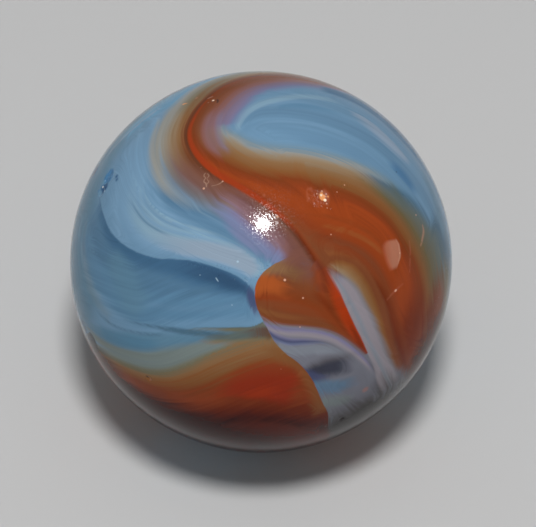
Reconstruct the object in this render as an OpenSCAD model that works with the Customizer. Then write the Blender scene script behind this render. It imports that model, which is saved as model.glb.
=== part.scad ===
// Glass playing marble: one solid ball, with the chips and pits that play has left in it.
// Millimetres. The origin is the ball's centre, +Z is up and -Y is the front.
//
// A place on the ball is a bearing and a latitude in degrees. Bearing 0 is the front
// and grows towards +X, and latitude 0 is the equator and grows towards +Z.

/* [Ball] */
// Diameter of the ball
ball_d = 16; // [12:0.1:25]

/* [Flake, a shallow round dish where a knock lifted the skin] */
// Width of the flake across its rim
flake_w = 0.85; // [0.5:0.05:1.2]
// Depth of the flake below its rim
flake_depth = 0.02; // [0.01:0.005:0.05]
// Bearing of the flake
flake_bearing = 40; // [30:1:50]
// Latitude of the flake
flake_latitude = 64; // [55:1:70]

/* [Chip, a smaller and deeper bite at the flake's edge] */
// Width of the chip across its rim
chip_w = 0.4; // [0.2:0.05:0.8]
// Depth of the chip below its rim
chip_depth = 0.05; // [0.02:0.01:0.1]
// Distance of the chip from the flake's centre, along the ball
chip_offset = 0.26; // [0:0.02:0.6]
// Direction of the chip from the flake's centre, clockwise from uphill
chip_heading = 100; // [0:5:355]

/* [Gouge, a short row of bites left by a glancing knock] */
// Length of the gouge from end to end
gouge_len = 1.3; // [0.8:0.1:2]
// Width of the gouge
gouge_w = 0.5; // [0.3:0.05:0.7]
// Depth of the gouge below its rim
gouge_depth = 0.05; // [0.02:0.01:0.1]
// Bearing of the gouge's middle
gouge_bearing = -92; // [-110:1:-70]
// Latitude of the gouge's middle
gouge_latitude = 37; // [20:1:50]
// Direction in which the gouge runs, clockwise from uphill
gouge_heading = -50; // [-90:5:90]

/* [Pits, two small dimples] */
// Width of each pit across its rim
pit_w = 0.3; // [0.15:0.05:0.5]
// Depth of each pit below its rim
pit_depth = 0.04; // [0.02:0.01:0.08]
// Bearing of the left pit
left_pit_bearing = -35; // [-50:1:-20]
// Latitude of the left pit
left_pit_latitude = 3; // [-10:1:15]
// Bearing of the right pit
right_pit_bearing = 25; // [10:1:40]
// Latitude of the right pit
right_pit_latitude = -11; // [-25:1:0]

/* [Hidden] */

ball_r = ball_d / 2;
ball_fn = 180;
bite_fn = 90;

// Bites in the gouge, enough for each to overlap the next by this share of its width or
// more, and the angle that the ball turns from one to the next
bite_overlap = 0.2;
gouge_bites = 1 + max(1, ceil((gouge_len - gouge_w) / (gouge_w * (1 - bite_overlap)) - 0.001));
gouge_step = arc_angle((gouge_len - gouge_w) / (gouge_bites - 1));

// Angle at the ball's centre for a distance along its surface
function arc_angle(distance) = distance / ball_r * 180 / PI;

// Radius of the sphere whose cap is this wide and this deep
function cap_radius(width, depth) = (pow(width / 2, 2) + depth * depth) / (2 * depth);

// Height above the ball's centre of a rim this wide, lying on the ball's skin
function rim_height(width) = sqrt(ball_r * ball_r - pow(width / 2, 2));

// Turns what stands on top of the ball to a place on it
module at_place(bearing, latitude) {
    rotate([0, 90 - latitude, bearing - 90]) children();
}

// Moves what stands on top of the ball along its skin, by a heading and an angle
module along_skin(heading, angle) {
    rotate([0, 0, -heading]) rotate([0, -angle, 0]) children();
}

// What a knock takes out of the top of the ball: a cap with its rim on the skin
module bite(width, depth) {
    radius = cap_radius(width, depth);
    translate([0, 0, rim_height(width) - depth + radius])
        sphere(r = radius, $fn = bite_fn);
}

module flake_and_chip() {
    at_place(flake_bearing, flake_latitude) {
        bite(flake_w, flake_depth);
        along_skin(chip_heading, arc_angle(chip_offset)) bite(chip_w, chip_depth);
    }
}

module gouge() {
    at_place(gouge_bearing, gouge_latitude)
        for (i = [0 : gouge_bites - 1])
            along_skin(gouge_heading, (i - (gouge_bites - 1) / 2) * gouge_step)
                bite(gouge_w, gouge_depth);
}

module pits() {
    at_place(left_pit_bearing, left_pit_latitude) bite(pit_w, pit_depth);
    at_place(right_pit_bearing, right_pit_latitude) bite(pit_w, pit_depth);
}

module marble() {
    color("SteelBlue")
        difference() {
            sphere(d = ball_d, $fn = ball_fn);
            flake_and_chip();
            gouge();
            pits();
        }
}

marble();
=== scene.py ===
"""Glass playing marble: the looks of the ball, its ribbons of glass and its knock marks.

The ball stands for the CAD node "marble". Its mesh is a fine icosphere with the same chips
and pits bitten out of it as the CAD ball has. The ribbons of opaque glass are laid over the
ball one after another, each along a smooth path, and every ribbon leaves its edges on the
mesh as attributes, which the glass material turns into colour.
"""

import math
from collections import namedtuple

import bmesh
import bpy
import numpy as np
from mathutils import Euler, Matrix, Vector
from mathutils.kdtree import KDTree


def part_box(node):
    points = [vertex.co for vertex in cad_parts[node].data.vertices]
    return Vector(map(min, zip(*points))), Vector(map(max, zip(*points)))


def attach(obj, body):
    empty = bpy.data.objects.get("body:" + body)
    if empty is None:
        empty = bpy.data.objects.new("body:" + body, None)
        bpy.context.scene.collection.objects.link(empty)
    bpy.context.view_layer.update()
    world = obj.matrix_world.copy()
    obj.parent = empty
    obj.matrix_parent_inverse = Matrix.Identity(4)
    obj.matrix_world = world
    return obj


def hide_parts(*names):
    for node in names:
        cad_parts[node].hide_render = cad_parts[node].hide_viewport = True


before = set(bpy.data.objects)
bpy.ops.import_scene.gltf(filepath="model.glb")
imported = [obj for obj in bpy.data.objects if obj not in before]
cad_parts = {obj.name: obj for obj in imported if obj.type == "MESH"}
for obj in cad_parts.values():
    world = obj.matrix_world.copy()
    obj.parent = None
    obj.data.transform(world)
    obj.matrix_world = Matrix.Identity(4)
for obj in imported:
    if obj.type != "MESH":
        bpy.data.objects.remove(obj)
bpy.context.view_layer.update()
lowest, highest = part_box("marble")

# --- Ball and view -------------------------------------------------------------------

BALL_R = (highest.y - lowest.y) / 2
MM = 0.001
SKIN_MM = BALL_R / MM

# The rendered image, and the middle and the outline's radius of the ball in it, in pixels.
# Image x grows to the right and image y downwards, from the upper left corner.
IMAGE_W = 536
IMAGE_H = 527
BALL_X = 261
BALL_Y = 262
BALL_OUTLINE = 191

# The view: its height above the horizon, and its distance in ball radii
VIEW_ELEVATION = math.radians(50)
VIEW_RADII = 20
FOCAL_PX = BALL_OUTLINE / math.tan(math.asin(1 / VIEW_RADII))
VIEW_UP = np.array([0, math.sin(VIEW_ELEVATION), math.cos(VIEW_ELEVATION)])
VIEW_BACK = np.array([0, -math.cos(VIEW_ELEVATION), math.sin(VIEW_ELEVATION)])

# Mesh of the ball: its even division, how often edges near small things are halved, and
# which blur still makes an edge crisp. The mesh is finer so many millimetres round a crisp
# edge or a mark, and round a bite by this share of its width.
BALL_SUBDIVISIONS = 7
FINE_HALVINGS = 3
CRISP_MM = 0.13
CRISP_REACH = 0.13
MARK_REACH = 0.17
BITE_REACH = 0.62

# Streaks along the ribbons: how fine they are across and how slowly they change along, and
# how much they pull at the edges, the place across a ribbon and the tone. Where no ribbon
# leads them, they lie across the axis.
FLOW_AXIS = np.array([0.3, -0.4, 0.87])
STREAK_FINENESS = 5.0
STREAK_SLOWNESS = 150.0
STREAK_DETAIL = 3.0
STREAK_ROUGHNESS = 0.6
STREAK_SPREAD = 2.5
EDGE_STREAKS = 0.5
PLACE_STREAKS = 0.08
TONE_STREAKS = 0.17

# Skin of the glass: the polish is a roughness from low to high, in wide smears, and fine
# scuffs add to it. Where a bite is BROKEN_MM deep, its glass is wholly crushed.
GLASS_SPECULAR = 0.1
POLISH = (0.03, 0.08)
SMEAR_SCALE = 400.0
SMEAR_RANGE = (0.3, 0.7)
SCUFF_SCALE = 16500.0
SCUFF_DETAIL = 1.0
SCUFF_RANGE = (0.45, 0.75)
SCUFF_ROUGHNESS = 0.2
SCUFF_DEPTH = 0.0000008
BROKEN_MM = 0.01
BROKEN_ROUGHNESS = 0.25
CRUSH_SCALE = 9000.0
CRUSH_DEPTH = 0.00004

# Studio, in metres. A lamp's level is the shade of a white card at the ball.
FLOOR_HALF = 0.6
FLOOR_SHADE = 0.56
FLOOR_ROUGHNESS = 0.8
WORLD_SHADE = 0.25
LAMP_AWAY = 0.3
LAMP_ELEVATION = math.radians(72.3)
LAMP_SIDE = 0.006
KEY_SIZE = 0.055
KEY_LEVEL = 0.76
GLINT_SIZE = 0.037
GLINT_LEVEL = 3.8
CAMERA_CLIP = BALL_R / 8

# --- Places on the ball --------------------------------------------------------------

# Stands at the end of a row whose place is on the far side of the ball
FAR = True


def on_ball(x, y, far=False):
    """Direction from the ball's centre to the skin seen at image point (x, y).

    A far place lies where the same line of sight leaves the ball again behind.
    """
    right = (x - BALL_X) / FOCAL_PX
    up = (BALL_Y - y) / FOCAL_PX
    slant = right * right + up * up + 1
    chord = math.sqrt(max(VIEW_RADII ** 2 - slant * (VIEW_RADII ** 2 - 1), 0))
    reach = (VIEW_RADII + chord if far else VIEW_RADII - chord) / slant
    place = np.array([right * reach, 0, 0]) + VIEW_UP * up * reach
    place += VIEW_BACK * (VIEW_RADII - reach)
    return place / np.linalg.norm(place)


# --- Colours of the glass ------------------------------------------------------------

# Red, green and blue of each glass, as screen values of 0 to 255
GLASS = {
    "ground": (110, 147, 176),
    "sky": (120, 156, 185),
    "periwinkle": (116, 126, 160),
    "pale": (133, 164, 184),
    "haze": (142, 160, 178),
    "slate": (102, 138, 167),
    "lake": (92, 132, 162),
    "azure": (104, 157, 190),
    "cobalt": (84, 127, 155),
    "steel": (84, 121, 150),
    "teal": (94, 132, 156),
    "deep": (67, 112, 149),
    "ocean": (76, 118, 156),
    "denim": (66, 103, 135),
    "navy": (52, 82, 112),
    "indigo": (72, 78, 112),
    "petrol": (70, 101, 122),
    "sage": (121, 133, 131),
    "lichen": (92, 103, 100),
    "moss": (116, 110, 88),
    "olive": (104, 94, 66),
    "bronze": (120, 88, 54),
    "stone": (148, 148, 142),
    "tan": (147, 128, 104),
    "camel": (139, 104, 70),
    "toffee": (132, 86, 48),
    "ochre": (145, 88, 45),
    "brown": (122, 68, 40),
    "cocoa": (118, 76, 64),
    "umber": (96, 57, 38),
    "rust": (126, 60, 28),
    "brick": (136, 60, 28),
    "mahogany": (106, 38, 13),
    "thread": (156, 58, 26),
    "flame": (150, 65, 27),
    "orange": (165, 82, 37),
    "scarlet": (163, 55, 18),
    "red": (142, 42, 18),
    "oxblood": (82, 22, 8),
    # near-black red: dark oxblood glass, and painted shade on the underside and the right rim
    "black_red": (46, 4, 2),
    "rosewood": (134, 86, 72),
    "mauve": (134, 103, 110),
    "plum": (112, 76, 74),
    "ash": (104, 101, 108),
    "lilac": (123, 119, 150),
    "pearl": (145, 138, 145),
    "milk": (146, 164, 184),
    "mist": (130, 136, 146),
    "fog": (122, 128, 132),
    "dove": (118, 119, 130),
    "smoke": (54, 56, 70),
    # dark grey of nicks, and of painted shade on the lower right rim
    "charcoal": (48, 44, 44),
    # dark grey of the smoke's edge, and of painted shade on the lower right rim
    "dusk": (84, 80, 84),
    # near-black brown of the painted shade on the lower left rim
    "painted_shade_brown": (48, 20, 10),
    "veil": (192, 138, 114),
    # pink of bruised glass, and of painted pink sheen
    "bruise": (186, 110, 84),
    "crease": (178, 142, 122),
    # orange-white of painted glints in the chipped flake
    "orange_glint": (238, 160, 98),
    "gouge": (34, 78, 122),
    "rift": (62, 120, 168),
    # pale blue of specks, and of painted glints
    "dust_and_glints": (176, 204, 222),
    "glint": (226, 176, 148),
    # white of painted highlights
    "white_glint": (255, 234, 208),
}

# --- Ribbons -------------------------------------------------------------------------

# A ribbon of glass. Its path has one row for each point that the middle line runs through:
# image x and y, then how far the glass reaches to the left and the right of the line, in
# millimetres along the skin. The colour is one glass, or a section: (place, glass) from
# the left edge at -1 over the line at 0 to the right edge at 1. soft is the width of the
# blur at the left and right edges and ends the fade at the start and finish, all in mm.
# seam is the side of the seam that it keeps to, blue or tongue. Within drift mm of its
# middle line the streaks run along it.
Ribbon = namedtuple("Ribbon", "name colour path soft ends opacity seam drift")


def ribbon(name, colour, path, soft=(0.2, 0.2), ends=(0.6, 0.6), opacity=1.0, seam=None,
           drift=0):
    """A ribbon with the usual blur and fade, unless others are given."""
    return Ribbon(name, colour, path, soft, ends, opacity, seam, drift)


# The crisp line where the glass was cut off: the blue half and the flame lie on one side of
# it, the tongue and the pearl ribbons on the other
SEAM = [
    (310, 250), (296, 254), (283, 260), (270, 267), (261.3, 275), (256, 285), (255, 296),
    (257.2, 308), (261.8, 318), (267.4, 328), (275, 342), (285, 352.6), (299, 363.6),
    (310.2, 376), (316.5, 388), (321.5, 400), (327.5, 412), (328.5, 425), (326, 440),
    (318, 450, 0, 0, FAR),
]


def blue_half():
    """The blue glass at the left: the pale fan, the dark shallows and their shore."""
    return [
        ribbon("rim_teal", "teal", [
            (225, 92, 0.1, 0.1, FAR), (196, 88, 0.4, 0.4, FAR), (160, 101, 0.9, 0.9),
            (118, 140, 1.0, 1.0), (92, 185, 1.3, 1.2),
            (80, 225, 1.6, 1.3), (77, 265, 1.8, 1.5), (82, 305, 1.8, 1.5),
            (97, 335, 1.6, 1.3)], soft=(1.2, 1.2), ends=(2.5, 1.0), drift=2.0),
        ribbon("rim_azure", "azure", [
            (235, 75, 0.5, 0.6), (210, 82, 0.7, 0.7), (190, 91, 0.7, 0.8),
            (160, 106, 0.7, 0.7), (138, 124, 0.5, 0.5), (122, 142, 0.3, 0.3)],
            soft=(0.6, 0.6), opacity=0.85),
        ribbon("azure_milk", "milk", [
            (104, 160, 0.05, 0.05), (120, 141, 0.08, 0.08), (136, 126, 0.08, 0.08),
            (150, 115, 0.08, 0.08), (166, 104, 0.05, 0.05)], soft=(0.15, 0.2),
            ends=(1.0, 0.8), opacity=0.5),
        ribbon("azure_teal", "teal", [
            (118, 158, 0.05, 0.05), (132, 140, 0.1, 0.1), (146, 128, 0.1, 0.1),
            (162, 116, 0.05, 0.05)], soft=(0.2, 0.2), ends=(1.0, 1.0), opacity=0.6),
        ribbon("field_sky", "sky", [
            (175, 112, 0.5, 0.5), (146, 138, 0.9, 0.8), (133, 165, 1.1, 0.8),
            (128, 195, 1.0, 0.9), (128, 222, 0.8, 0.8), (142, 240, 0.6, 0.5)],
            soft=(0.8, 0.8), ends=(1, 1.5), drift=2.0),
        ribbon("fan", [
            (-1.0, "slate"), (-0.84, "steel"), (-0.74, "steel"), (-0.62, "slate"),
            (-0.52, "sky"), (-0.44, "ground"), (-0.36, "sky"), (-0.28, "ground"),
            (-0.2, "pale"), (-0.13, "sky"), (-0.06, "pale"), (0.05, "sky"),
            (0.16, "pale"), (0.4, "pale"), (0.7, "sky"), (1.0, "ground")], [
            (141, 170, 1.0, 0.9), (138, 186, 1.25, 1.0), (139, 200, 1.4, 1.15),
            (144, 212, 1.5, 1.2), (155, 222, 1.5, 1.25), (170, 229, 1.5, 1.15),
            (188, 234, 1.4, 1.0), (207, 239, 1.35, 0.95), (225, 245, 1.25, 0.9),
            (245, 254, 1.1, 0.85), (258, 266, 0.9, 0.7), (264, 278, 0.6, 0.5)],
            soft=(0.5, 0.3), ends=(3.0, 0.3), drift=2.2),
        ribbon("fan_deep", "steel", [
            (160, 184, 0.1, 0.1), (166, 196, 0.2, 0.2), (178, 206, 0.25, 0.3),
            (196, 215, 0.25, 0.35), (214, 224, 0.2, 0.35), (232, 233, 0.2, 0.35),
            (250, 244, 0.2, 0.35), (264, 255, 0.2, 0.3), (274, 264, 0.1, 0.2)],
            soft=(0.3, 0.4), ends=(1.2, 0.5), opacity=0.75, drift=0.5),
        ribbon("fan_line", "steel", [
            (129, 196, 0.02, 0.02), (136, 210, 0.03, 0.04), (146, 222, 0.03, 0.05),
            (160, 231, 0.03, 0.05), (176, 238, 0.02, 0.03)], soft=(0.12, 0.1),
            ends=(1.2, 1.2), opacity=0.75),
        ribbon("fan_groove", "slate", [
            (141, 190, 0.02, 0.02), (148, 206, 0.05, 0.03), (160, 218, 0.06, 0.04),
            (178, 227, 0.06, 0.04), (200, 233, 0.04, 0.03)], soft=(0.2, 0.12),
            ends=(1.2, 1.2), opacity=0.6),
        ribbon("haze", [(-1.0, "haze"), (0.0, "haze"), (0.7, "haze"), (1.0, "milk")], [
            (140, 232, 0.1, 0.1), (160, 241, 0.25, 0.2), (180, 246, 0.3, 0.3),
            (205, 250, 0.35, 0.35), (228, 256, 0.4, 0.35), (246, 265, 0.4, 0.3),
            (257, 276, 0.25, 0.2)], soft=(0.3, 0.25), ends=(3.0, 0.3)),
        ribbon("shallows", [
            (0.0, "denim"), (0.2, "steel"), (0.4, "steel"), (0.55, "lake"),
            (0.85, "lake"), (1.0, "ground")], [
            (99, 190, 0, 1.8), (101, 205, 0, 2.1), (106, 222, 0, 2.4),
            (112, 234, 0, 2.7), (120, 242, 0, 2.9), (130, 249, 0, 3.0),
            (142, 254.5, 0, 3.1), (158, 258.5, 0, 3.0), (175, 259.5, 0, 2.9),
            (190, 261, 0, 2.8), (205, 264.5, 0, 2.65), (220, 269, 0, 2.4),
            (238, 277, 0, 2.0), (249, 286, 0, 1.6), (255, 296, 0, 1.2),
            (258, 308, 0, 0.8)], soft=(0.12, 0.6), ends=(1.5, 0.3), seam="blue",
            drift=3.2),
        ribbon("shallows_teal", "teal", [
            (112, 246, 0.3, 0.5), (118, 262, 0.5, 0.7), (126, 280, 0.6, 0.8),
            (136, 298, 0.6, 0.9), (148, 312, 0.4, 0.5)], soft=(0.8, 1.0), opacity=0.8,
            drift=1.0),
        ribbon("rim_light", "sage", [
            (88, 215, 0.05, 0.1), (84, 245, 0.1, 0.2), (88, 275, 0.2, 0.3),
            (98, 302, 0.25, 0.3), (114, 321, 0.1, 0.2)], soft=(0.5, 0.5), opacity=0.3,
            drift=1.6),
        ribbon("drop_off", "denim", [
            (99, 198, 0, 0.05), (104, 218, 0, 0.15), (111, 232, 0, 0.25),
            (120, 242, 0, 0.3), (142, 254.5, 0, 0.4), (158, 258.5, 0, 0.5),
            (175, 259.5, 0, 0.7), (190, 261, 0, 0.85), (205, 264.5, 0, 0.9),
            (220, 269, 0, 0.9), (238, 277, 0, 0.8), (249, 286, 0, 0.55),
            (255, 296, 0, 0.3), (258, 308, 0, 0.2)], soft=(0.12, 0.6), ends=(4.0, 0.3),
            seam="blue"),
        ribbon("drop_core", "navy", [
            (160, 259, 0, 0.05), (175, 260.5, 0, 0.25), (190, 262.5, 0, 0.45),
            (205, 266, 0, 0.55), (220, 270.5, 0, 0.6), (237, 279, 0, 0.55),
            (248, 289, 0, 0.3), (253, 300, 0, 0.1)], soft=(0.25, 0.5), ends=(3.0, 0.3),
            seam="blue"),
        ribbon("lake_light", "lake", [
            (160, 322, 0.2, 0.15), (185, 319, 0.4, 0.3), (210, 315, 0.6, 0.5),
            (234, 311, 0.6, 0.6), (254, 306, 0.4, 0.5)], soft=(0.7, 0.5),
            ends=(1.5, 0.3), opacity=0.9, seam="blue", drift=1.0),
        ribbon("shore_light", "sky", [
            (150, 321, 0.06, 0.08), (175, 323, 0.1, 0.1), (205, 322.5, 0.12, 0.15),
            (235, 321, 0.15, 0.2), (255, 318, 0.15, 0.2)], soft=(0.4, 0.2),
            ends=(1.5, 0.5), opacity=0.4, seam="blue"),
        ribbon("lake_line", "slate", [
            (125, 296, 0.05, 0.05), (160, 306, 0.08, 0.08), (195, 309, 0.1, 0.1),
            (230, 306, 0.1, 0.1), (250, 302, 0.05, 0.05)], soft=(0.3, 0.3),
            ends=(2.0, 0.8), opacity=0.5, seam="blue"),
        ribbon("seam_indigo", "indigo", [
            (246, 282, 0.05, 0.1), (250, 290, 0.12, 0.15), (252.5, 300, 0.15, 0.2),
            (256, 310, 0.12, 0.15), (261, 319, 0.05, 0.1)], soft=(0.3, 0.2),
            seam="blue", opacity=0.85),
        ribbon("shore_sage", [(-1.0, "teal"), (-0.4, "teal"), (0.1, "sage"), (1.0, "sage")], [
            (84, 322, 0.3, 0.3), (96, 336, 0.5, 0.4), (112, 345, 0.6, 0.5),
            (135, 351, 0.75, 0.55), (160, 352, 0.75, 0.6), (185, 347, 0.65, 0.55),
            (210, 342, 0.5, 0.45), (235, 338, 0.4, 0.35), (258, 334, 0.3, 0.3)],
            soft=(0.5, 0.5), ends=(1.0, 0.3), seam="blue", drift=1.0),
        ribbon("patch_cobalt", "cobalt", [
            (96, 328, 0.2, 0.25), (112, 338, 0.35, 0.3), (130, 343, 0.35, 0.3),
            (148, 345, 0.25, 0.25), (164, 344, 0.1, 0.1)], soft=(0.4, 0.4),
            ends=(1.0, 1.0), opacity=0.85),
        ribbon("line_one", "petrol", [
            (90, 300, 0.02, 0.02), (100, 314, 0.05, 0.05), (113, 325, 0.05, 0.05),
            (130, 331, 0.05, 0.05), (150, 334, 0.05, 0.06), (172, 334.5, 0.04, 0.06)],
            soft=(0.15, 0.2), ends=(1.5, 1.5), opacity=0.6),
        ribbon("line_two", "petrol", [
            (118, 318, 0.02, 0.02), (140, 324, 0.04, 0.04), (160, 327.5, 0.06, 0.08),
            (178, 330.5, 0.1, 0.12), (198, 332.5, 0.1, 0.15), (220, 334, 0.08, 0.15),
            (244, 337, 0.05, 0.1)], soft=(0.15, 0.2), ends=(2.0, 1.0), opacity=0.85,
            seam="blue"),
        ribbon("shore_edge", [(0.0, "lichen"), (0.4, "moss"), (1.0, "lichen")], [
            (182, 328.6, 0, 0.06), (200, 327.8, 0, 0.12), (220, 327.4, 0, 0.2),
            (240, 327, 0, 0.3), (254, 326, 0, 0.4), (264, 321, 0, 0.5)],
            soft=(0.08, 0.25), ends=(2.0, 0.1), seam="blue"),
        ribbon("line_three", "ash", [
            (196, 337, 0.04, 0.04), (215, 336.5, 0.06, 0.06), (236, 338, 0.06, 0.08),
            (256, 341, 0.04, 0.05)], soft=(0.15, 0.2), ends=(1.0, 0.6), opacity=0.7,
            seam="blue"),
    ]


def flame():
    """The red glass below the shore, from sage and camel down to nearly black, with painted shade
    on the underside and along the lower left rim.
    """
    return [
        ribbon("flame_bed", [(-1.0, "mahogany"), (-0.4, "oxblood"), (0.2, "black_red"),
                             (1.0, "black_red")], [
            (84, 340, 1.0, 1.0, FAR), (96, 360, 1.2, 1.5), (120, 388, 1.8, 2.5),
            (150, 406, 2.2, 3.5), (185, 422, 2.6, 4.5), (220, 432, 3.0, 4.5),
            (260, 440, 3.2, 4.5), (300, 444, 3.2, 4.5), (350, 434, 3.2, 4.0, FAR),
            (392, 404, 2.4, 3.0, FAR)],
            soft=(1.0, 1.5), ends=(1.0, 1.0), seam="blue", drift=3.0),
        ribbon("flame", [
            (-1.0, "sage"), (-0.4, "sage"), (0.0, "moss"), (0.08, "camel"),
            (0.2, "toffee"), (0.36, "rust"), (0.55, "brick"), (0.72, "mahogany"),
            (0.86, "oxblood"), (1.0, "black_red")], [
            (76, 322, 0.3, 0.9), (86, 338, 0.35, 1.1), (98, 350, 0.4, 1.35),
            (113, 358.5, 0.5, 1.7), (131, 366, 0.55, 2.1), (149.5, 371, 0.6, 2.6),
            (168, 371, 0.65, 3.05), (186.5, 365, 0.65, 3.6), (205, 356.5, 0.55, 4.15),
            (223, 349, 0.45, 4.6), (243, 341.5, 0.35, 5.1), (262, 335.2, 0.25, 5.6),
            (290, 326.5, 0.2, 6.2), (320, 317.5, 0.2, 6.7), (350, 309, 0.2, 7.1)],
            soft=(0.6, 1.0), ends=(0.6, 0.3), seam="blue", drift=5.0),
        ribbon("flame_red", [(-1.0, "brick"), (-0.3, "red"), (0.5, "red"), (1.0, "mahogany")], [
            (208, 398, 0.2, 0.1), (228, 392, 0.6, 0.4), (248, 388, 1.1, 0.8),
            (268, 386, 1.3, 1.1), (288, 386, 1.2, 1.3), (306, 388, 0.8, 1.3)],
            soft=(0.8, 0.9), opacity=0.85, ends=(1.6, 0.8), seam="blue"),
        ribbon("flame_glow", "scarlet", [
            (236, 398, 0.08, 0.08), (254, 394, 0.2, 0.2), (270, 392, 0.25, 0.25),
            (286, 396, 0.15, 0.15)], soft=(0.4, 0.5), opacity=0.45, ends=(1.0, 1.0),
            seam="blue"),
        # Near-black red on the underside: partly the glass's dark oxblood, partly painted shade.
        ribbon("bottom_red_and_shade", "black_red", [
            (84, 340, 0.3, 0.6, FAR), (96, 362, 0.6, 1.0), (120, 392, 1.1, 2.0),
            (150, 412, 1.5, 3.0), (185, 427, 1.7, 4.0), (220, 436, 1.2, 4.5),
            (255, 441, 0.4, 4.5), (290, 449, 0.0, 4.5), (315, 444, 0.0, 4.5, FAR)],
            soft=(1.6, 1.5), ends=(1.0, 2.0), seam="blue", opacity=0.92),
        # Painted shade: near-black brown along the lower left rim.
        ribbon("rim_painted_shade_brown", "painted_shade_brown", [
            (80, 322, 0.3, 0.8), (90, 345, 0.9, 1.2), (104, 368, 1.5, 1.5),
            (124, 393, 1.6, 1.8), (150, 415, 1.2, 2.0), (180, 433, 0.6, 2.0)],
            soft=(1.6, 1.5), ends=(1.2, 2.5), opacity=0.85),
        ribbon("flame_edge", "toffee", [
            (268, 340, 0.1, 0.3), (280, 354, 0.1, 0.3), (298, 366, 0.1, 0.2),
            (311, 382, 0.1, 0.25), (319, 398, 0.1, 0.35), (327, 414, 0.1, 0.5)],
            soft=(0.2, 0.5), opacity=0.7, seam="blue"),
        ribbon("shore_moss", [(-1.0, "lichen"), (0.0, "lichen"), (0.5, "moss"),
                              (1.0, "camel")], [
            (190, 336, 0.05, 0.1), (210, 338, 0.15, 0.2), (230, 338, 0.25, 0.25),
            (252, 336, 0.35, 0.3), (270, 334, 0.35, 0.3)], soft=(0.3, 0.35),
            ends=(1.2, 0.1), opacity=0.92, seam="blue"),
        ribbon("shore_umber", "umber", [
            (238, 334, 0.05, 0.06), (250, 333, 0.1, 0.15), (260, 331, 0.15, 0.25),
            (269, 331, 0.15, 0.3), (276, 337, 0.15, 0.3)], soft=(0.25, 0.3),
            ends=(1.2, 0.2), opacity=0.7, seam="blue"),
    ]


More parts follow.
